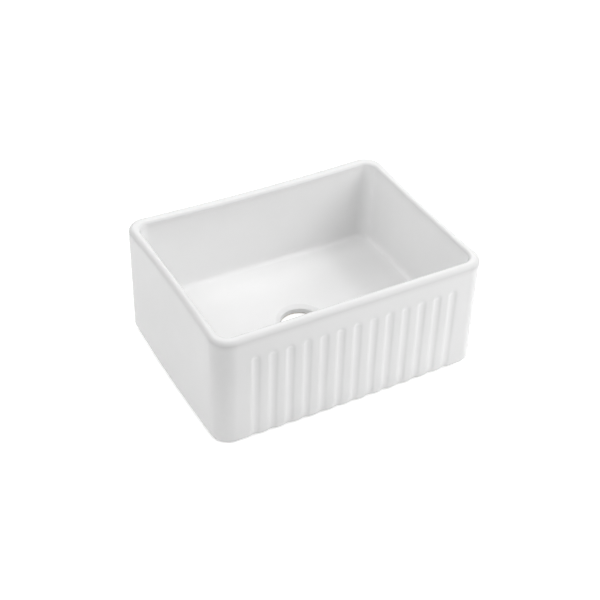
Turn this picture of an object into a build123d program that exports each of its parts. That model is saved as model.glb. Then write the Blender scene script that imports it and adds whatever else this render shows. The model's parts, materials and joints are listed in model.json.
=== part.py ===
from build123d import *
import os
from math import atan, cos, degrees, hypot, radians, sin

# A single-bowl apron front sink, slip cast in fireclay as one body, glazed and fired.
# +Z is up, the fluted apron faces -Y, and the origin is on the floor under the middle of the sink.

# ---- Driving dimensions, in millimetres ----

# Outside of the body
WIDTH = 610.0               # across the widest place, at the middle of the foot
DEPTH = 459.0               # apron to back, also at the foot
HEIGHT = 254.0              # foot to rim
OUTER_CORNER = 40.0         # radius of the four upright corners
RIM_OUTER_ROUND = 10.0      # soft edge between the rim and the outside
RIM_INNER_ROUND = 6.0       # soft edge between the rim and the bowl
FOOT_BEVEL = 5.0            # bevel round the outside of the foot

# The long walls move in the kiln: each bulges at the foot and draws in at the rim, at mid-length
FRONT_BULGE = 3.7
SIDE_BULGE = 3.5
SIDE_BOW = 4.2
BACK_BOW = 6.5
BACK_FOOT_BOW = 0.5

# Bowl
FRONT_WALL = 22.0           # wall thicknesses at the rim, beside the corners
SIDE_WALL = 20.5
BACK_WALL = 26.0
BOWL_SIDE_BOW = 0.8         # the inside of the side walls stays straighter than their outside
BOWL_FLOOR_BOW = 0.5        # and so does the foot of the bowl's walls
BOWL_CORNER = 24.0          # upright corners inside the bowl
BOWL_DRAFT = 3.0            # each wall comes in by this much from the rim to the floor
BOWL_FLOOR_ROUND = 10.0     # cove between the floor and the walls
FLOOR_TOP = 61.0            # bowl floor above the foot, at the walls
FLOOR_LEDGE = 7.0           # level floor left between the cove and the shallow dish round the waste
DISH_DROP = 10.0            # fall of that dish, from the level floor to the edge of the waste seat

# Waste outlet, in the middle of the floor
SEAT_DIAMETER = 107.0       # where the floor turns down into the dished seat
SEAT_DROP = 7.0             # floor down to the mouth of the bore
SEAT_EDGE_ROUND = 4.0       # soft edge where the floor turns down into the seat
BORE_DIAMETER = 89.0        # 3 1/2 inch waste hole
BORE_EDGE_ROUND = 2.0       # soft edge at the mouth of the bore

# Hollow underside
FOOT_WIDTH = 30.0           # width of the foot that runs round under the walls, beside its corners
HOLLOW_CORNER = 22.0
HOLLOW_DRAFT = 4.0          # lean of the hollow's sides, in degrees
HOLLOW_BEVEL = 6.0          # bevel between the ceiling and the foot
FOOT_INNER_BEVEL = 2.0
CEILING = 31.5              # underside of the floor slab above the foot

# Flutes of the apron
FLUTE_COUNT = 13
FLUTE_PITCH = 37.0
FLUTE_HOLLOW_RADIUS = 20.0  # concave middle of a flute
FLUTE_SHOULDER_RADIUS = 14.5  # convex shoulder that the thick glaze leaves beside it
FLUTE_FLANK = 22.5          # steepest slope of its sides, in degrees, where those two arcs meet
FLUTE_CREASE = 4.0          # slope that is left where the shoulder meets the flat of the ridge
FLUTE_TOP = 203.5           # height of the arched end of a flute, where its hollow stops

# ---- Worked out from them ----

SIDE = WIDTH / 2 - SIDE_BULGE       # where the walls' outsides meet the corner rounds
FRONT = -DEPTH / 2 + FRONT_BULGE
BACK = DEPTH / 2
FOOT_BOWS = (-FRONT_BULGE, -SIDE_BULGE, BACK_FOOT_BOW)  # front, sides and back, inwards
RIM_BOWS = (0.0, SIDE_BOW, BACK_BOW)
BOWL_FLOOR_BOWS = (0.0, BOWL_FLOOR_BOW, BOWL_FLOOR_BOW)
BOWL_RIM_BOWS = (0.0, BOWL_SIDE_BOW, BACK_BOW)
SEAT_TOP = FLOOR_TOP - DISH_DROP
BORE_TOP = SEAT_TOP - SEAT_DROP
FOOT_BAND = FOOT_BEVEL + 2.0        # the walls are upright beside the foot's bevel
RIM_BAND = RIM_OUTER_ROUND + 2.0    # and beside the rim's soft edges
FLOOR_BAND = BOWL_FLOOR_ROUND + 2.0  # and beside the cove round the bowl's floor
NO_BOWS = (0.0, 0.0, 0.0)
BEYOND = 5.0                # how far a cutting shape reaches past the surface that it cuts


def wall(start, end, outward, corner, bow):
    """One wall of a plan, between the centres of its corners, and the two points where it ends."""
    turn = 2 * atan(bow / ((end - start).length / 2))
    along = (end - start).normalized()
    first = start + outward * corner * cos(turn) + along * corner * sin(turn)
    last = end + outward * corner * cos(turn) - along * corner * sin(turn)
    if bow == 0:
        return Line(first, last), first, last
    middle = (start + end) / 2 + outward * (corner - bow)
    return ThreePointArc(first, middle, last), first, last


def plan(side, front, back, corner, bows, height):
    """Outline of the sink seen from above: four walls that bow in or out between round corners."""
    x = side - corner
    centres = [
        Vector(-x, front + corner),
        Vector(x, front + corner),
        Vector(x, back - corner),
        Vector(-x, back - corner),
    ]
    outwards = [Vector(0, -1), Vector(1, 0), Vector(0, 1), Vector(-1, 0)]
    front_bow, side_bow, back_bow = bows
    wall_bows = [front_bow, side_bow, back_bow, side_bow]
    walls = []
    for i in range(4):
        walls.append(wall(centres[i], centres[(i + 1) % 4], outwards[i], corner, wall_bows[i]))
    edges = []
    for i in range(4):
        edge, first, last = walls[i]
        following = walls[(i + 1) % 4][1]
        centre = centres[(i + 1) % 4]
        middle = centre + (last + following - 2 * centre).normalized() * corner
        edges.append(edge)
        edges.append(ThreePointArc(last, middle, following))
    return Pos(0, 0, height) * make_face(edges)


def bows_at(height, low, high, low_bows, high_bows):
    """The bows of the walls at this height, which change evenly between two heights."""
    share = min(max((height - low) / (high - low), 0.0), 1.0)
    return tuple(a + (b - a) * share for a, b in zip(low_bows, high_bows))


def banded(outline, bottom, low, high, top):
    """A body with upright bands below low and above high, and drawn-in walls between them."""
    lower = extrude(Pos(0, 0, bottom - low) * outline(low), low - bottom)
    middle = loft([outline(low), outline(high)], ruled=True)
    upper = extrude(outline(high), top - high)
    return lower + middle + upper


def outer_block():
    """The outside of the casting, with its soft rim and bevelled foot."""
    low = FOOT_BAND
    high = HEIGHT - RIM_BAND

    def outline(height):
        bows = bows_at(height, low, high, FOOT_BOWS, RIM_BOWS)
        return plan(SIDE, FRONT, BACK, OUTER_CORNER, bows, height)

    block = banded(outline, 0, low, high, HEIGHT)
    block = fillet(block.faces().sort_by(Axis.Z)[-1].edges(), RIM_OUTER_ROUND)
    return chamfer(block.faces().sort_by(Axis.Z)[0].edges(), FOOT_BEVEL)


def bowl():
    """The space inside the bowl, down to its floor and the dish in the floor."""
    low = FLOOR_TOP + FLOOR_BAND
    high = HEIGHT - RIM_BAND

    def outline(height):
        draft = BOWL_DRAFT * (high - height) / (high - low)
        return plan(
            SIDE - SIDE_WALL - draft,
            FRONT + FRONT_WALL + draft,
            BACK - BACK_WALL - draft,
            BOWL_CORNER,
            bows_at(height, low, high, BOWL_FLOOR_BOWS, BOWL_RIM_BOWS),
            height,
        )

    space = banded(outline, FLOOR_TOP, low, high, HEIGHT)
    space = fillet(space.faces().sort_by(Axis.Z)[0].edges(), BOWL_FLOOR_ROUND)
    nearest_wall = min(SIDE - SIDE_WALL, -FRONT - FRONT_WALL, BACK - BACK_WALL)
    level_floor = BOWL_DRAFT + BOWL_FLOOR_BOW + BOWL_FLOOR_ROUND + FLOOR_LEDGE
    dish = Polyline(
        (0, SEAT_TOP),
        (SEAT_DIAMETER / 2, SEAT_TOP),
        (nearest_wall - level_floor, FLOOR_TOP),
        (0, FLOOR_TOP),
        close=True,
    )
    return space + revolve(Plane.XZ * make_face(dish), Axis.Z)


def hollow():
    """The open space under the floor slab, inside the foot."""
    mouth = plan(
        SIDE - FOOT_WIDTH, FRONT + FOOT_WIDTH, BACK - FOOT_WIDTH, HOLLOW_CORNER, NO_BOWS, 0
    )
    space = extrude(mouth, CEILING, taper=HOLLOW_DRAFT)
    return chamfer(space.faces().sort_by(Axis.Z)[-1].edges(), HOLLOW_BEVEL)


def waste_outlet():
    """The dished seat and the bore through the floor slab, as one turned shape."""
    bore = BORE_DIAMETER / 2
    seat = SEAT_DIAMETER / 2
    outline = Polyline(
        (0, CEILING - BEYOND),
        (bore, CEILING - BEYOND),
        (bore, BORE_TOP),
        (seat, SEAT_TOP),
        (0, SEAT_TOP),
        close=True,
    )
    return revolve(Plane.XZ * make_face(outline), Axis.Z)


def flute_section():
    """Half the section of a flute: x from its middle line, y into the clay."""
    flank = radians(FLUTE_FLANK)
    crease = radians(FLUTE_CREASE)
    hollow_rise = FLUTE_HOLLOW_RADIUS * (1 - cos(flank))
    depth = hollow_rise + FLUTE_SHOULDER_RADIUS * (cos(crease) - cos(flank))
    meet = FLUTE_HOLLOW_RADIUS * sin(flank)
    edge = meet + FLUTE_SHOULDER_RADIUS * (sin(flank) - sin(crease))
    hollow_middle = (
        FLUTE_HOLLOW_RADIUS * sin(flank / 2),
        depth - FLUTE_HOLLOW_RADIUS * (1 - cos(flank / 2)),
    )
    lean = (flank + crease) / 2
    shoulder_middle = (
        edge - FLUTE_SHOULDER_RADIUS * (sin(lean) - sin(crease)),
        FLUTE_SHOULDER_RADIUS * (cos(crease) - cos(lean)),
    )
    outline = [
        ThreePointArc((0, depth), hollow_middle, (meet, depth - hollow_rise)),
        ThreePointArc((meet, depth - hollow_rise), shoulder_middle, (edge, 0)),
        Polyline((edge, 0), (edge, -BEYOND), (0, -BEYOND), (0, depth)),
    ]
    return make_face(outline), meet


def flute():
    """The clay that one flute takes away: a straight run that ends in an arch."""
    right_half, hollow_edge = flute_section()
    whole = right_half + mirror(right_half, Plane.YZ)
    arch_height = FLUTE_TOP - hollow_edge
    run = extrude(Pos(0, 0, -BEYOND) * whole, arch_height + BEYOND)
    middle_line = Axis((0, 0, arch_height), (0, -1, 0))
    arch = revolve(Pos(0, 0, arch_height) * right_half, middle_line, 180)
    return run + arch


def flutes():
    """All the flutes, each leaning with the face of the apron where it lies."""
    one = flute()
    low = FOOT_BAND
    high = HEIGHT - RIM_BAND
    reach = SIDE - OUTER_CORNER
    placed = []
    for i in range(FLUTE_COUNT):
        x = FLUTE_PITCH * (i - (FLUTE_COUNT - 1) / 2)
        bulge = FRONT_BULGE * (1 - (x / reach) ** 2)
        lean = degrees(atan(bulge / (high - low)))
        placed.append(Pos(x, FRONT - bulge, low) * Rot(-lean, 0, 0) * Pos(0, 0, -low) * one)
    return placed


def ring_edges(body, radius, height):
    """The round edges about the upright axis with this radius and height."""
    found = []
    for edge in body.edges().filter_by(GeomType.CIRCLE):
        centre = edge.arc_center
        if hypot(centre.X, centre.Y) < 0.01 and abs(centre.Z - height) < 0.01:
            if abs(edge.radius - radius) < 0.01:
                found.append(edge)
    return found


def fireclay_basin():
    """The whole casting: block, bowl, hollow underside, waste outlet and fluted apron."""
    body = outer_block() - bowl()
    rim_inside = body.faces().sort_by(Axis.Z)[-1].inner_wires()[0].edges()
    body = fillet(rim_inside, RIM_INNER_ROUND)
    body = body - hollow()
    foot_inside = body.faces().sort_by(Axis.Z)[0].inner_wires()[0].edges()
    body = chamfer(foot_inside, FOOT_INNER_BEVEL)
    body = body - waste_outlet()
    body = fillet(ring_edges(body, SEAT_DIAMETER / 2, SEAT_TOP), SEAT_EDGE_ROUND)
    body = fillet(ring_edges(body, BORE_DIAMETER / 2, BORE_TOP), BORE_EDGE_ROUND)
    return body - flutes()


def main():
    os.makedirs("parts", exist_ok=True)
    basin = fireclay_basin()
    print("solids", len(basin.solids()), "volume", basin.volume, "valid", basin.is_valid)
    export_step(basin, "parts/fireclay_basin.step")


if __name__ == "__main__":
    main()
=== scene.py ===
import json
import math

import bpy
import numpy as np
from mathutils import Matrix, Vector


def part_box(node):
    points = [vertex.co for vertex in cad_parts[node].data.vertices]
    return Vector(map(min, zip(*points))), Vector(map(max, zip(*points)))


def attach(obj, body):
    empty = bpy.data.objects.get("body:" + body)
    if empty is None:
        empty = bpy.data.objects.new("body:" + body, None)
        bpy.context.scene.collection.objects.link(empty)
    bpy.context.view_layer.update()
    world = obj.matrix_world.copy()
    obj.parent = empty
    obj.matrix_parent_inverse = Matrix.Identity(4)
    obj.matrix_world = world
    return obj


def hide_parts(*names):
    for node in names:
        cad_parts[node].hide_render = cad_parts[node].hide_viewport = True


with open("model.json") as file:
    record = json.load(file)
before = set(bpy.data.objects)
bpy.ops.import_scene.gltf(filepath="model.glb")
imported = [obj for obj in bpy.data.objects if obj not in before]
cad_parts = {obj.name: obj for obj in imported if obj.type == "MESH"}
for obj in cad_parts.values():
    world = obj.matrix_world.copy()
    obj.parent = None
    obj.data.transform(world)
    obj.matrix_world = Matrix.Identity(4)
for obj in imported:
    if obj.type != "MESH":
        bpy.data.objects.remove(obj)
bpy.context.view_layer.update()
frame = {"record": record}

# ---- The fireclay basin ----
# The whole sink is one slip-cast body of fireclay: apron, bowl, dished floor, waste seat and the
# foot that it stands on. It is cast in a plaster mould, sprayed with thick white glaze and fired
# once, so its edges are soft, its long walls draw in at the rim, and its flutes are glazed over.

MM = 0.001
low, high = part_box("fireclay_basin")
HEIGHT = high.z / MM
OUTER_CORNER = 40.0
RIM_OUTER_ROUND = 10.0
RIM_INNER_ROUND = 6.0
FOOT_ROUND = 8.0

# How far each long wall stands out at the foot and draws in at the rim, at its middle
FRONT_BULGE = 3.7
SIDE_BULGE = 3.5
SIDE_BOW = 4.2
BACK_BOW = 6.5
BACK_FOOT_BOW = 0.5
FOOT_BOWS = (-FRONT_BULGE, -SIDE_BULGE, BACK_FOOT_BOW)
RIM_BOWS = (0.0, SIDE_BOW, BACK_BOW)
BOW_MARGIN = 2.0            # the bows hold still over the rounds and for this far past them
SIDE = (high.x - low.x) / 2 / MM - SIDE_BULGE
FRONT = low.y / MM + FRONT_BULGE
BACK = high.y / MM

FRONT_WALL = 22.0
SIDE_WALL = 20.5
BACK_WALL = 26.0
BOWL_FLOOR_BOWS = (0.0, 0.5, 0.5)
BOWL_RIM_BOWS = (0.0, 0.8, BACK_BOW)
BOWL_CORNER = 24.0
BOWL_DRAFT = 3.0
BOWL_FLOOR_ROUND = 10.0
FLOOR_TOP = 61.0

waste = next(m for m in frame["record"]["mounts"] if m["name"] == "waste_outlet")
BORE_RADIUS = waste["dims"]["r_mm"]
SEAT_RADIUS = 53.5
SEAT_TOP = 51.0
SEAT_DROP = 7.0
SEAT_EDGE_ROUND = 4.0
BORE_EDGE_ROUND = 2.0
DISH_RADIUS = 183.0
DISH_BLEND = 0.35           # over this share of its length the dish runs out into the floor

FOOT_WIDTH = 30.0
FOOT_INNER_ROUND = 4.0
HOLLOW_CORNER = 22.0
HOLLOW_LEAN = math.radians(4)
HOLLOW_ROUND = 10.0
CEILING = 31.5

FLUTE_COUNT = 13
FLUTE_PITCH = 37.0
FLUTE_HOLLOW_RADIUS = 20.0
FLUTE_SHOULDER_RADIUS = 14.5
FLUTE_FLANK = math.radians(22.5)
FLUTE_CREASE = math.radians(4)
FLUTE_TOP = 203.5

# Columns of the mesh, counted round half of the outline: 1.7 mm apart along the fluted front
FRONT_COLUMNS = 156
CORNER_COLUMNS = 14
SIDE_COLUMNS = 40
BACK_COLUMNS = 36

QUARTER = math.pi / 2


def steps(start, end, count):
    """Evenly spaced values from start up to the one before end."""
    return start + (end - start) * np.arange(count) / count


def arc(centre_x, centre_y, radius, start, end, count):
    """Points on an arc, from its start angle up to the one before its end."""
    angles = steps(start, end, count)
    x = centre_x + radius * np.cos(angles)
    y = centre_y + radius * np.sin(angles)
    return np.stack([x, y], 1)


def wall(start, end, inwards, bow, shares):
    """Points on a wall at these shares of its length. It bows inwards, most of all halfway."""
    along = np.array(start) + np.outer(shares, np.subtract(end, start))
    return along + np.outer(bow * 4 * shares * (1 - shares), inwards)


def outline(side, front, back, corner, bows, inset=0.0):
    """The outline seen from above, drawn inwards by inset, from the middle of the front."""
    front_bow, side_bow, back_bow = bows
    x = side - corner
    front_y = front + corner
    back_y = back - corner
    half_side = (back_y - front_y) / 2
    radius = corner - inset
    front_turn = 2 * math.atan(front_bow / x)
    side_turn = 2 * math.atan(side_bow / half_side)
    back_turn = 2 * math.atan(back_bow / x)

    def tangent(centre_x, centre_y, angle):
        return (centre_x + radius * math.cos(angle), centre_y + radius * math.sin(angle))

    front_end = tangent(x, front_y, -QUARTER - front_turn)
    side_start = tangent(x, front_y, side_turn)
    side_end = tangent(x, back_y, -side_turn)
    back_start = tangent(x, back_y, QUARTER + back_turn)
    front_sag = front_bow - radius * (1 - math.cos(front_turn))
    side_sag = side_bow - radius * (1 - math.cos(side_turn))
    back_sag = back_bow - radius * (1 - math.cos(back_turn))
    half = np.concatenate([
        wall(
            (-front_end[0], front_end[1]), front_end, (0, 1), front_sag,
            steps(0.5, 1, FRONT_COLUMNS),
        ),
        arc(x, front_y, radius, -QUARTER - front_turn, side_turn, CORNER_COLUMNS),
        wall(side_start, side_end, (-1, 0), side_sag, steps(0, 1, SIDE_COLUMNS)),
        arc(x, back_y, radius, -side_turn, QUARTER + back_turn, CORNER_COLUMNS),
        wall(
            back_start, (-back_start[0], back_start[1]), (0, -1), back_sag,
            np.linspace(0, 0.5, BACK_COLUMNS + 1),
        ),
    ])
    mirrored = half[-2:0:-1] * (-1, 1)
    return np.concatenate([half, mirrored])


def bows_at(height, bottom, top, low_bows, high_bows):
    """The bows of the walls at this height, which change evenly between two heights."""
    share = min(max((height - bottom) / (top - bottom), 0.0), 1.0)
    return [a + (b - a) * share for a, b in zip(low_bows, high_bows)]


def outside(height, inset=0.0):
    """The outside of the body at this height."""
    bottom = FOOT_ROUND + BOW_MARGIN
    top = HEIGHT - RIM_OUTER_ROUND - BOW_MARGIN
    bows = bows_at(height, bottom, top, FOOT_BOWS, RIM_BOWS)
    return outline(SIDE, FRONT, BACK, OUTER_CORNER, bows, inset)


def bowl_wall(height, inset=0.0):
    """The inside of the bowl at this height: it draws in a little towards the floor."""
    top = HEIGHT - RIM_OUTER_ROUND - BOW_MARGIN
    bottom = FLOOR_TOP + BOWL_FLOOR_ROUND + BOW_MARGIN
    draft = BOWL_DRAFT * (top - min(max(height, bottom), top)) / (top - bottom)
    return outline(
        SIDE - SIDE_WALL - draft, FRONT + FRONT_WALL + draft, BACK - BACK_WALL - draft,
        BOWL_CORNER, bows_at(height, bottom, top, BOWL_FLOOR_BOWS, BOWL_RIM_BOWS), inset,
    )


def hollow_wall(height, inset=0.0):
    """The inside of the foot at this height, which leans in towards the ceiling."""
    lean = math.tan(HOLLOW_LEAN) * height
    return outline(
        SIDE - FOOT_WIDTH - lean, FRONT + FOOT_WIDTH + lean, BACK - FOOT_WIDTH - lean,
        HOLLOW_CORNER - lean, (0.0, 0.0, 0.0), inset,
    )


def flute_depth(x, z):
    """How deep the apron's face lies: flutes that end in arches, between crowned ridges."""
    meet = FLUTE_HOLLOW_RADIUS * math.sin(FLUTE_FLANK)
    crease = FLUTE_SHOULDER_RADIUS * math.sin(FLUTE_CREASE)
    edge = meet + FLUTE_SHOULDER_RADIUS * math.sin(FLUTE_FLANK) - crease
    crown_reach = FLUTE_PITCH / 2 - edge
    crown_radius = crown_reach / math.sin(FLUTE_CREASE)
    crown_drop = crown_radius * (1 - math.cos(FLUTE_CREASE))
    shoulder_drop = FLUTE_SHOULDER_RADIUS * (math.cos(FLUTE_CREASE) - math.cos(FLUTE_FLANK))
    deepest = crown_drop + shoulder_drop + FLUTE_HOLLOW_RADIUS * (1 - math.cos(FLUTE_FLANK))
    number = np.clip(np.round(x / FLUTE_PITCH), -(FLUTE_COUNT // 2), FLUTE_COUNT // 2)
    above = max(z - (FLUTE_TOP - meet), 0.0)
    away = np.hypot(x - number * FLUTE_PITCH, above)
    in_hollow = np.clip(away, 0, meet)
    in_shoulder = np.clip(edge - away, 0, edge - meet) + crease
    in_crown = np.clip(edge + crown_reach - away, 0, crown_reach)
    hollow = deepest - FLUTE_HOLLOW_RADIUS + np.sqrt(FLUTE_HOLLOW_RADIUS ** 2 - in_hollow ** 2)
    shoulder_top = crown_drop + FLUTE_SHOULDER_RADIUS * math.cos(FLUTE_CREASE)
    shoulder = shoulder_top - np.sqrt(FLUTE_SHOULDER_RADIUS ** 2 - in_shoulder ** 2)
    crown = crown_radius - np.sqrt(crown_radius ** 2 - in_crown ** 2)
    return np.where(away < meet, hollow, np.where(away < edge, shoulder, crown))


def level(points, height):
    """A row of the mesh: an outline at one height."""
    return np.column_stack([points, np.full(len(points), height)])


def fluted(points, height):
    """A row on the outside of the body, pressed in by the flutes on the apron's face."""
    row = level(points, height)
    on_front = np.abs(points[:, 0]) < SIDE - OUTER_CORNER
    on_front &= points[:, 1] < 0
    row[on_front, 1] += flute_depth(points[on_front, 0], height)
    return row


rows = []

# Up the outside: foot edge, wall with its flutes, rim edge. The rows lie closest at the arches.
FOOT_EDGE_ROWS = 7
LOW_WALL_ROWS = 18
ARCHES_FROM = 180.0
ARCH_ROWS = 24
ARCHES_TO = 220.0
HIGH_WALL_ROWS = 5
RIM_EDGE_ROWS = 10
for turn in steps(0, QUARTER, FOOT_EDGE_ROWS):
    z = FOOT_ROUND * (1 - math.cos(turn))
    inset = FOOT_ROUND * (1 - math.sin(turn))
    rows.append(fluted(outside(z, inset), z))
wall_top = HEIGHT - RIM_OUTER_ROUND
wall_heights = [
    *steps(FOOT_ROUND, ARCHES_FROM, LOW_WALL_ROWS),
    *steps(ARCHES_FROM, ARCHES_TO, ARCH_ROWS),
    *steps(ARCHES_TO, wall_top, HIGH_WALL_ROWS),
]
for z in wall_heights:
    rows.append(fluted(outside(z), z))
rim_edge_start = len(rows)
for turn in steps(0, QUARTER, RIM_EDGE_ROWS):
    inset = RIM_OUTER_ROUND * (1 - math.cos(turn))
    rows.append(level(outside(wall_top, inset), wall_top + RIM_OUTER_ROUND * math.sin(turn)))

# Across the rim and down into the bowl: rim edge, wall, cove
RIM_FLAT_ROWS = 3
BOWL_EDGE_ROWS = 9
BOWL_WALL_ROWS = 16
COVE_ROWS = 10
rim_flat_start = len(rows)
rim_outer = outside(wall_top, RIM_OUTER_ROUND)
rim_inner = bowl_wall(HEIGHT, -RIM_INNER_ROUND)
for share in steps(0, 1, RIM_FLAT_ROWS):
    rows.append(level(rim_outer + (rim_inner - rim_outer) * share, HEIGHT))
rim_flat_end = len(rows)
for turn in steps(0, QUARTER, BOWL_EDGE_ROWS):
    spread = RIM_INNER_ROUND * (1 - math.sin(turn))
    z = HEIGHT - RIM_INNER_ROUND * (1 - math.cos(turn))
    rows.append(level(bowl_wall(HEIGHT, -spread), z))
cove_top = FLOOR_TOP + BOWL_FLOOR_ROUND
for z in steps(HEIGHT - RIM_INNER_ROUND, cove_top, BOWL_WALL_ROWS):
    rows.append(level(bowl_wall(z), z))
for turn in steps(0, QUARTER, COVE_ROWS):
    inset = BOWL_FLOOR_ROUND * (1 - math.cos(turn))
    z = cove_top - BOWL_FLOOR_ROUND * math.sin(turn)
    rows.append(level(bowl_wall(cove_top, inset), z))


def floor_height(radius):
    """Height of the floor at this distance from the waste: a dish that runs out level."""
    share = (radius - SEAT_RADIUS) / (DISH_RADIUS - SEAT_RADIUS)
    mix = np.clip(0.5 + 0.5 * (1 - share) / DISH_BLEND, 0, 1)
    eased = 1 + (share - 1) * mix - DISH_BLEND * mix * (1 - mix)
    return SEAT_TOP + (FLOOR_TOP - SEAT_TOP) * eased


# In along the floor to the waste. The rows crowd together towards the waste.
FLOOR_ROWS = 26
FLOOR_CROWDING = 1.3
floor_edge = bowl_wall(cove_top, BOWL_FLOOR_ROUND)
towards_waste = floor_edge / np.linalg.norm(floor_edge, axis=1)[:, None]


def ring(radius, height):
    """A row round the waste, whose columns carry on those of the floor."""
    return level(towards_waste * radius, height)


floor_slope = math.atan((FLOOR_TOP - SEAT_TOP) / (DISH_RADIUS - SEAT_RADIUS))
seat_slope = math.atan(SEAT_DROP / (SEAT_RADIUS - BORE_RADIUS))
seat_reach = SEAT_EDGE_ROUND * math.tan((seat_slope - floor_slope) / 2)
seat_start = SEAT_RADIUS + seat_reach * math.cos(floor_slope)
for share in steps(0, 1, FLOOR_ROWS):
    eased = 1 - (1 - share) ** FLOOR_CROWDING
    points = floor_edge + (towards_waste * seat_start - floor_edge) * eased
    row = level(points, FLOOR_TOP)
    row[:, 2] = floor_height(np.linalg.norm(points, axis=1))
    rows.append(row)

# Over the edge of the seat, down the seat, round the mouth of the bore and down the bore
SEAT_EDGE_ROWS = 7
SEAT_ROWS = 4
MOUTH_ROWS = 5
BORE_ROWS = 4
seat_start_height = SEAT_TOP + seat_reach * math.sin(floor_slope)
edge_centre = (
    seat_start + SEAT_EDGE_ROUND * math.sin(floor_slope),
    seat_start_height - SEAT_EDGE_ROUND * math.cos(floor_slope),
)
for turn in steps(floor_slope, seat_slope, SEAT_EDGE_ROWS):
    rows.append(ring(
        edge_centre[0] - SEAT_EDGE_ROUND * math.sin(turn),
        edge_centre[1] + SEAT_EDGE_ROUND * math.cos(turn),
    ))
mouth_reach = BORE_EDGE_ROUND * math.tan((QUARTER - seat_slope) / 2)
bore_top = SEAT_TOP - SEAT_DROP
mouth_start = (
    BORE_RADIUS + mouth_reach * math.cos(seat_slope),
    bore_top + mouth_reach * math.sin(seat_slope),
)
seat_foot = (
    edge_centre[0] - SEAT_EDGE_ROUND * math.sin(seat_slope),
    edge_centre[1] + SEAT_EDGE_ROUND * math.cos(seat_slope),
)
for share in steps(0, 1, SEAT_ROWS):
    rows.append(ring(
        seat_foot[0] + (mouth_start[0] - seat_foot[0]) * share,
        seat_foot[1] + (mouth_start[1] - seat_foot[1]) * share,
    ))
for turn in steps(seat_slope, QUARTER, MOUTH_ROWS):
    rows.append(ring(
        BORE_RADIUS + BORE_EDGE_ROUND * (1 - math.sin(turn)),
        bore_top - mouth_reach + BORE_EDGE_ROUND * math.cos(turn),
    ))
for z in steps(bore_top - mouth_reach, CEILING, BORE_ROWS):
    rows.append(ring(BORE_RADIUS, z))

# Out along the ceiling of the hollow, down inside the foot and across what it stands on
CEILING_ROWS = 14
CEILING_EDGE_ROWS = 8
HOLLOW_WALL_ROWS = 5
FOOT_INNER_ROWS = 6
FOOT_FLAT_ROWS = 3
glazed_rows = len(rows)
cove_height = CEILING - HOLLOW_ROUND
ceiling_edge = hollow_wall(cove_height, HOLLOW_ROUND)
bore_end = towards_waste * BORE_RADIUS
for share in steps(0, 1, CEILING_ROWS):
    rows.append(level(bore_end + (ceiling_edge - bore_end) * share, CEILING))
for turn in steps(0, QUARTER, CEILING_EDGE_ROWS):
    inset = HOLLOW_ROUND * (1 - math.sin(turn))
    z = CEILING - HOLLOW_ROUND * (1 - math.cos(turn))
    rows.append(level(hollow_wall(cove_height, inset), z))
for z in steps(cove_height, FOOT_INNER_ROUND, HOLLOW_WALL_ROWS):
    rows.append(level(hollow_wall(z), z))
for turn in steps(0, QUARTER, FOOT_INNER_ROWS):
    spread = FOOT_INNER_ROUND * (1 - math.cos(turn))
    z = FOOT_INNER_ROUND * (1 - math.sin(turn))
    rows.append(level(hollow_wall(FOOT_INNER_ROUND, -spread), z))
foot_inner = hollow_wall(FOOT_INNER_ROUND, -FOOT_INNER_ROUND)
foot_outer = rows[0][:, :2]
for share in steps(0, 1, FOOT_FLAT_ROWS):
    rows.append(level(foot_inner + (foot_outer - foot_inner) * share, 0.0))

# The rows close up all the way round, so the body is one skin with no border
grid = np.array(rows)
row_count, column_count = grid.shape[:2]
row_index, column_index = np.mgrid[:row_count, :column_count]
next_row = (row_index + 1) % row_count
next_column = (column_index + 1) % column_count
faces = np.stack([
    row_index * column_count + column_index,
    row_index * column_count + next_column,
    next_row * column_count + next_column,
    next_row * column_count + column_index,
], -1).reshape(-1, 4)
basin_mesh = bpy.data.meshes.new("glazed_fireclay_basin")
basin_mesh.from_pydata((grid.reshape(-1, 3) * MM).tolist(), [], faces.tolist())
basin_mesh.update()
basin_mesh.shade_smooth()

# How tightly the surface is rounded at each point, in 1/mm: positive on edges, negative in hollows
normals = np.empty(row_count * column_count * 3)
basin_mesh.vertices.foreach_get("normal", normals)
normals = normals.reshape(grid.shape)
rounding = np.zeros((row_count, column_count))
for axis in (0, 1):
    ahead = grid - np.roll(grid, -1, axis)
    behind = grid - np.roll(grid, 1, axis)
    ahead_length = np.linalg.norm(ahead, axis=2)
    behind_length = np.linalg.norm(behind, axis=2)
    bend = ahead / ahead_length[..., None] + behind / behind_length[..., None]
    rounding += 2 * (normals * bend).sum(axis=2) / (ahead_length + behind_length)

# How much the glaze is painted greyer, partly for thinner glaze and partly as painted shade: 1 on
# an edge as tight as the rounding below, nothing on a flat wall, and below nothing in hollows,
# which are painted brighter as painted light
THIN_AND_SHADED_ROUNDING = 0.16
THINNEST_AND_DARKEST = 1.6
THICKEST_AND_BRIGHTEST = -0.4
THICKEST_AND_BRIGHTEST_IN_BOWL = -0.2     # how bright the bowl's coves may be painted: little painted light there
RIM_EDGE_EXTRA_SHADE = 1.5         # the rim's outer edge is painted greyer than others as tight: painted shade
RIM_FLAT_SHADE_ROUNDING = 0.088   # the narrow flat between the rim's edges is painted as grey as an edge this tight: painted shade
EDGE_GREY_FROM = 60.0         # heights between which the painted greying of edges grows from none to full
EDGE_GREY_TO = 180.0
rim_flat = slice(rim_flat_start, rim_flat_end)
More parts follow.
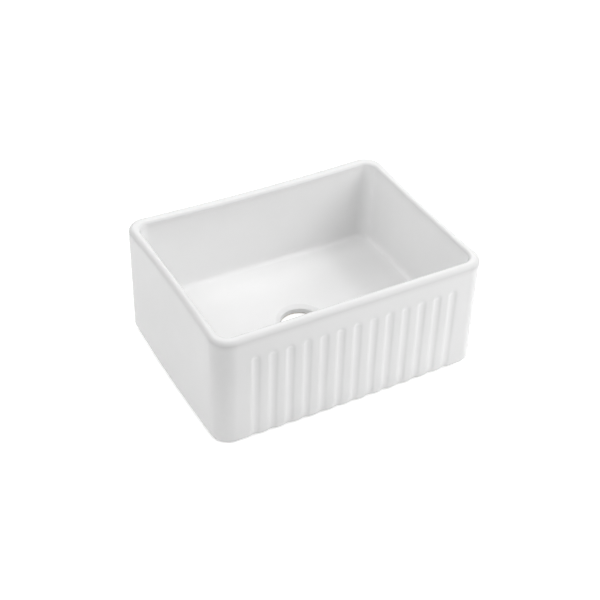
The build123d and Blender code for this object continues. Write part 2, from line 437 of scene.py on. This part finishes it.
# Painted shade: the rim's outer round and its flat are greyed more than their rounding alone
# gives.
rounding[rim_edge_start:rim_flat_start] *= RIM_EDGE_EXTRA_SHADE
rounding[rim_flat] = np.maximum(rounding[rim_flat], RIM_FLAT_SHADE_ROUNDING)
for axis in (0, 1, 0, 1):
    rounding = (np.roll(rounding, 1, axis) + 2 * rounding + np.roll(rounding, -1, axis)) / 4
edge_grey_by_height = np.clip((grid[..., 2] - EDGE_GREY_FROM) / (EDGE_GREY_TO - EDGE_GREY_FROM), 0, 1)
# Painted shade and light: edges are greyed, more and more with height, partly for thinner glaze;
# hollows are brightened.
glaze_thinness_and_shade = np.clip(rounding / THIN_AND_SHADED_ROUNDING, -1, THINNEST_AND_DARKEST)
glaze_thinness_and_shade[glaze_thinness_and_shade > 0] *= edge_grey_by_height[glaze_thinness_and_shade > 0]
in_bowl = slice(rim_flat_end, None)
glaze_thinness_and_shade[in_bowl] = np.maximum(glaze_thinness_and_shade[in_bowl], THICKEST_AND_BRIGHTEST_IN_BOWL)
bareness = np.zeros((row_count, column_count))
bareness[glazed_rows:] = 1
for name, values in (("thin_glaze_and_painted_shade", glaze_thinness_and_shade), ("bare_clay", bareness)):
    attribute = basin_mesh.attributes.new(name, "FLOAT", "POINT")
    attribute.data.foreach_set("value", values.ravel())

basin = bpy.data.objects.new("glazed_fireclay_basin", basin_mesh)
bpy.context.scene.collection.objects.link(basin)


def linear(hex_colour):
    """The linear colour of an sRGB hex value, as a shader wants it."""
    values = [int(hex_colour[i:i + 2], 16) / 255 for i in (1, 3, 5)]
    return (*(v / 12.92 if v <= 0.04045 else ((v + 0.055) / 1.055) ** 2.4 for v in values), 1.0)


def add_node(tree, kind, settings=None, inputs=None):
    """Adds a node with its settings, and gives its inputs a value or another node's output."""
    node = tree.nodes.new(kind)
    for name, value in (settings or {}).items():
        setattr(node, name, value)
    for name, value in (inputs or {}).items():
        if isinstance(value, bpy.types.NodeSocket):
            tree.links.new(value, node.inputs[name])
        else:
            node.inputs[name].default_value = value
    return node


# White gloss sanitary glaze over fireclay, sprayed on and fired. Its outside edges are painted a
# shade greyer, partly for thinner glaze there and partly as painted shade, most of all on the rim,
# and its hollows, such as the flutes, are painted brighter as painted light. It ripples faintly.
# What the sink stands on and its hollow underside are left bare: buff, matt clay with a ragged
# line of glaze round it.
RIPPLE_WIDTH = 30.0
MOTTLE_WIDTH = 70.0
GRIT_WIDTH = 1.6            # real grit is 0.3 mm across, and is drawn coarser so that it shows
glaze = bpy.data.materials.new("white_gloss_glaze_on_fireclay")
glaze.use_nodes = True
tree = glaze.node_tree
tree.nodes.clear()
place = add_node(tree, "ShaderNodeTexCoord")
ripple = add_node(tree, "ShaderNodeTexNoise", {}, {
    "Vector": place.outputs["Object"],
    "Scale": 1 / (RIPPLE_WIDTH * MM),
    "Detail": 2.0,
    "Roughness": 0.4,
})
tone = add_node(tree, "ShaderNodeTexNoise", {}, {
    "Vector": place.outputs["Object"],
    "Scale": 1 / (MOTTLE_WIDTH * MM),
    "Detail": 4.0,
    "Roughness": 0.55,
})
glaze_shade_value = add_node(tree, "ShaderNodeAttribute", {"attribute_name": "thin_glaze_and_painted_shade"})
thickness_and_shade = add_node(tree, "ShaderNodeMapRange", {}, {
    "Value": glaze_shade_value.outputs["Fac"], "From Min": THICKEST_AND_BRIGHTEST, "From Max": THINNEST_AND_DARKEST,
})
# Painted shade and light: the coat runs from bright in hollows to grey on edges and on the rim.
coat_with_painted_shade = add_node(tree, "ShaderNodeMix", {"data_type": "RGBA"}, {
    "Factor": thickness_and_shade.outputs["Result"],
    "A": linear("#ECECEC"),
    "B": linear("#C5C5C5"),
})
mottle = add_node(tree, "ShaderNodeMapRange", {}, {
    "Value": tone.outputs["Fac"],
    "From Min": 0.3,
    "From Max": 0.7,
    "To Min": 0.985,
    "To Max": 1.0,
})
colour = add_node(tree, "ShaderNodeVectorMath", {"operation": "SCALE"}, {
    0: coat_with_painted_shade.outputs["Result"], "Scale": mottle.outputs["Result"],
})
bump = add_node(tree, "ShaderNodeBump", {}, {
    "Strength": 0.05, "Distance": 1.0 * MM, "Height": ripple.outputs["Fac"],
})
gloss = add_node(tree, "ShaderNodeBsdfPrincipled", {}, {
    "Base Color": colour.outputs["Vector"],
    "Roughness": 0.12,
    "IOR": 1.5,
    "Normal": bump.outputs["Normal"],
})

grain = add_node(tree, "ShaderNodeTexNoise", {}, {
    "Vector": place.outputs["Object"],
    "Scale": 1 / (GRIT_WIDTH * MM),
    "Detail": 4.0,
    "Roughness": 0.7,
})
clay = add_node(tree, "ShaderNodeMix", {"data_type": "RGBA"}, {
    "Factor": grain.outputs["Fac"], "A": linear("#CFC3AD"), "B": linear("#E6DDCB"),
})
grain_bump = add_node(tree, "ShaderNodeBump", {}, {
    "Strength": 0.4, "Distance": 0.4 * MM, "Height": grain.outputs["Fac"],
})
biscuit = add_node(tree, "ShaderNodeBsdfPrincipled", {}, {
    "Base Color": clay.outputs["Result"],
    "Roughness": 0.85,
    "Normal": grain_bump.outputs["Normal"],
})
bare = add_node(tree, "ShaderNodeAttribute", {"attribute_name": "bare_clay"})
ragged = add_node(tree, "ShaderNodeMath", {"operation": "ADD"}, {
    0: bare.outputs["Fac"], 1: tone.outputs["Fac"],
})
glaze_line = add_node(tree, "ShaderNodeMapRange", {}, {
    "Value": ragged.outputs["Value"], "From Min": 0.96, "From Max": 1.04,
})
skin = add_node(tree, "ShaderNodeMixShader", {}, {
    0: glaze_line.outputs["Result"], 1: gloss.outputs["BSDF"], 2: biscuit.outputs["BSDF"],
})
add_node(tree, "ShaderNodeOutputMaterial", {}, {"Surface": skin.outputs["Shader"]})
basin_mesh.materials.append(glaze)

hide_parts("fireclay_basin")
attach(basin, "root")

# ---- The studio floor ----
# White seamless paper, too wide for its edge to show. It bounces light up under the sink, keeps
# the sink's shadow, and is seen and reflected as nearly pure white. In the sink's shadow under the
# waste hole, light is painted on it: there it glows to the camera and in reflections, though no
# lamp reaches it and it lights nothing. Far away it glows as much, so that it reads white.

FLOOR_REACH = 6.0
FLOOR_HEIGHT = -0.0003      # just clear of the foot
GLOW_ROUND_SINK = 0.3
GLOW_IN_DARK = 0.95
UNDER_WASTE = (0.08, 0.18)  # distances from the middle between which the glow changes
FAR_AWAY = (0.6, 2.5)
floor_mesh = bpy.data.meshes.new("studio_floor")
corners = [(-1, -1), (1, -1), (1, 1), (-1, 1)]
floor_mesh.from_pydata(
    [(x * FLOOR_REACH, y * FLOOR_REACH, FLOOR_HEIGHT) for x, y in corners], [], [(0, 1, 2, 3)],
)
floor = bpy.data.objects.new("studio_floor", floor_mesh)
bpy.context.scene.collection.objects.link(floor)
paper = bpy.data.materials.new("white_background_paper")
paper.use_nodes = True
tree = paper.node_tree
tree.nodes.clear()


def seen_or_reflected(tree):
    """Is 1 for rays from the camera, from a glossy surface and through a clear one, and else 0."""
    path = add_node(tree, "ShaderNodeLightPath")
    either = add_node(tree, "ShaderNodeMath", {"operation": "MAXIMUM"}, {
        0: path.outputs["Is Camera Ray"], 1: path.outputs["Is Glossy Ray"],
    })
    return add_node(tree, "ShaderNodeMath", {"operation": "MAXIMUM"}, {
        0: either.outputs["Value"], 1: path.outputs["Is Transmission Ray"],
    }).outputs["Value"]


matt = add_node(tree, "ShaderNodeBsdfDiffuse", {}, {"Color": linear("#F3F3F3")})
dark = add_node(tree, "ShaderNodeEmission", {}, {"Strength": 0.0})
from_middle = add_node(tree, "ShaderNodeVectorMath", {"operation": "LENGTH"}, {
    0: add_node(tree, "ShaderNodeTexCoord").outputs["Object"],
})
# Painted light: under the waste hole, in the sink's shadow, the paper glows almost white to the
# camera and in reflections.
under_waste = add_node(tree, "ShaderNodeMapRange", {"interpolation_type": "SMOOTHSTEP"}, {
    "Value": from_middle.outputs["Value"],
    "From Min": UNDER_WASTE[0],
    "From Max": UNDER_WASTE[1],
    "To Min": GLOW_IN_DARK,
    "To Max": GLOW_ROUND_SINK,
})
far_away = add_node(tree, "ShaderNodeMapRange", {"interpolation_type": "SMOOTHSTEP"}, {
    "Value": from_middle.outputs["Value"],
    "From Min": FAR_AWAY[0],
    "From Max": FAR_AWAY[1],
    "To Min": 0.0,
    "To Max": GLOW_IN_DARK,
})
brightness = add_node(tree, "ShaderNodeMath", {"operation": "MAXIMUM"}, {
    0: under_waste.outputs["Result"], 1: far_away.outputs["Result"],
})
glow = add_node(tree, "ShaderNodeEmission", {}, {"Strength": brightness.outputs["Value"]})
seen = add_node(tree, "ShaderNodeMixShader", {}, {
    0: seen_or_reflected(tree), 1: dark.outputs["Emission"], 2: glow.outputs["Emission"],
})
both = add_node(tree, "ShaderNodeAddShader", {}, {
    0: matt.outputs["BSDF"], 1: seen.outputs["Shader"],
})
add_node(tree, "ShaderNodeOutputMaterial", {}, {"Surface": both.outputs["Shader"]})
floor_mesh.materials.append(paper)

# ---- The light ----
# A white studio. Two pale walls, one in front on the right and one on the left, and five soft
# boxes give the light. Two small lamps make the bright dots on the rounded rim.

MIDDLE = Vector((0, 0, 0.1))  # what the lamps and the camera face
PALE_WALLS = (
    # azimuth, elevation, strength
    (315, 30, 1.07),
    (180, 5, 1.07),
)
WALL_FOCUS = 5.0            # how quickly a pale wall falls off to its sides
WHITE = (1.0, 1.0, 1.0, 1.0)
world = bpy.data.worlds.new("white_studio")
bpy.context.scene.world = world
world.use_nodes = True
tree = world.node_tree
tree.nodes.clear()


def direction(azimuth, elevation):
    """The direction of a light seen from the sink, at this bearing and height in degrees."""
    turn = math.radians(azimuth)
    rise = math.radians(elevation)
    level_part = math.cos(rise)
    return Vector((level_part * math.cos(turn), level_part * math.sin(turn), math.sin(rise)))


towards = add_node(tree, "ShaderNodeTexCoord").outputs["Generated"]
light_so_far = 0.0
for azimuth, elevation, strength in PALE_WALLS:
    facing = add_node(tree, "ShaderNodeVectorMath", {"operation": "DOT_PRODUCT"}, {
        0: towards, 1: direction(azimuth, elevation),
    })
    in_front = add_node(tree, "ShaderNodeMath", {"operation": "MAXIMUM"}, {
        0: facing.outputs["Value"], 1: 0.0,
    })
    fall_off = add_node(tree, "ShaderNodeMath", {"operation": "POWER"}, {
        0: in_front.outputs["Value"], 1: WALL_FOCUS,
    })
    total = add_node(tree, "ShaderNodeMath", {"operation": "MULTIPLY_ADD"}, {
        0: fall_off.outputs["Value"], 1: strength, 2: light_so_far,
    })
    light_so_far = total.outputs["Value"]
walls = add_node(tree, "ShaderNodeBackground", {}, {"Color": WHITE, "Strength": light_so_far})
white = add_node(tree, "ShaderNodeBackground", {}, {"Color": WHITE, "Strength": 1.0})
studio = add_node(tree, "ShaderNodeMixShader", {}, {
    0: seen_or_reflected(tree), 1: walls.outputs["Background"], 2: white.outputs["Background"],
})
add_node(tree, "ShaderNodeOutputWorld", {}, {"Surface": studio.outputs["Shader"]})


def lamp(name, azimuth, elevation, distance, size, watts, glints):
    """A square lamp that faces the sink. Only a spot glints in the glaze."""
    data = bpy.data.lights.new(name, "AREA")
    data.shape = "SQUARE"
    data.size = size
    data.energy = watts
    light = bpy.data.objects.new(name, data)
    towards_lamp = direction(azimuth, elevation)
    light.location = MIDDLE + towards_lamp * distance
    light.rotation_euler = (-towards_lamp).to_track_quat("-Z", "Y").to_euler()
    light.visible_glossy = glints
    bpy.context.scene.collection.objects.link(light)


SOFTBOX_DISTANCE = 1.8
SOFTBOX_SIZE = 1.2
for name, azimuth, elevation, watts in (
    ("left_overhead_softbox", 180, 64, 15.0),
    ("front_right_softbox", 315, 38, 10.0),
    ("right_softbox", 0, 38, 10.4),
    ("front_softbox", 270, 38, 3.1),
    ("back_softbox", 90, 38, 10.0),
):
    lamp(name, azimuth, elevation, SOFTBOX_DISTANCE, SOFTBOX_SIZE, watts, False)
SPOT_DISTANCE = 2.5
SPOT_SIZE = 0.25
SPOT_WATTS = 3.5
lamp("left_spot", 175, 42, SPOT_DISTANCE, SPOT_SIZE, SPOT_WATTS, True)
lamp("right_spot", 350, 52, SPOT_DISTANCE, SPOT_SIZE, SPOT_WATTS, True)

# ---- The camera ----
# It looks down on the sink from in front on the left, with a moderately long lens, and is
# tilted a little to one side.

AZIMUTH = math.radians(-29.495)
ELEVATION = math.radians(38.215)
ROLL = math.radians(1.8)
DISTANCE = 2.6575
FOCAL_PIXELS = 1256.4
PICTURE_PIXELS = 600
SENSOR_MM = 36.0
SHIFT_RIGHT = 0.00243
SHIFT_UP = -0.00255

backwards = Vector((
    math.sin(AZIMUTH) * math.cos(ELEVATION),
    -math.cos(AZIMUTH) * math.cos(ELEVATION),
    math.sin(ELEVATION),
))
right = Vector((0, 0, 1)).cross(backwards).normalized()
up = backwards.cross(right)
rolled_right = right * math.cos(ROLL) + up * math.sin(ROLL)
rolled_up = up * math.cos(ROLL) - right * math.sin(ROLL)
lens = bpy.data.cameras.new("camera")
lens.sensor_width = SENSOR_MM
lens.lens = FOCAL_PIXELS * SENSOR_MM / PICTURE_PIXELS
camera = bpy.data.objects.new("camera", lens)
camera.matrix_world = Matrix((
    (rolled_right.x, rolled_up.x, backwards.x, 0),
    (rolled_right.y, rolled_up.y, backwards.y, 0),
    (rolled_right.z, rolled_up.z, backwards.z, 0),
    (0, 0, 0, 1),
))
camera.location = (
    MIDDLE + backwards * DISTANCE - rolled_right * SHIFT_RIGHT - rolled_up * SHIFT_UP
)
bpy.context.scene.collection.objects.link(camera)
bpy.context.scene.camera = camera
bpy.context.scene.view_settings.view_transform = "Standard"
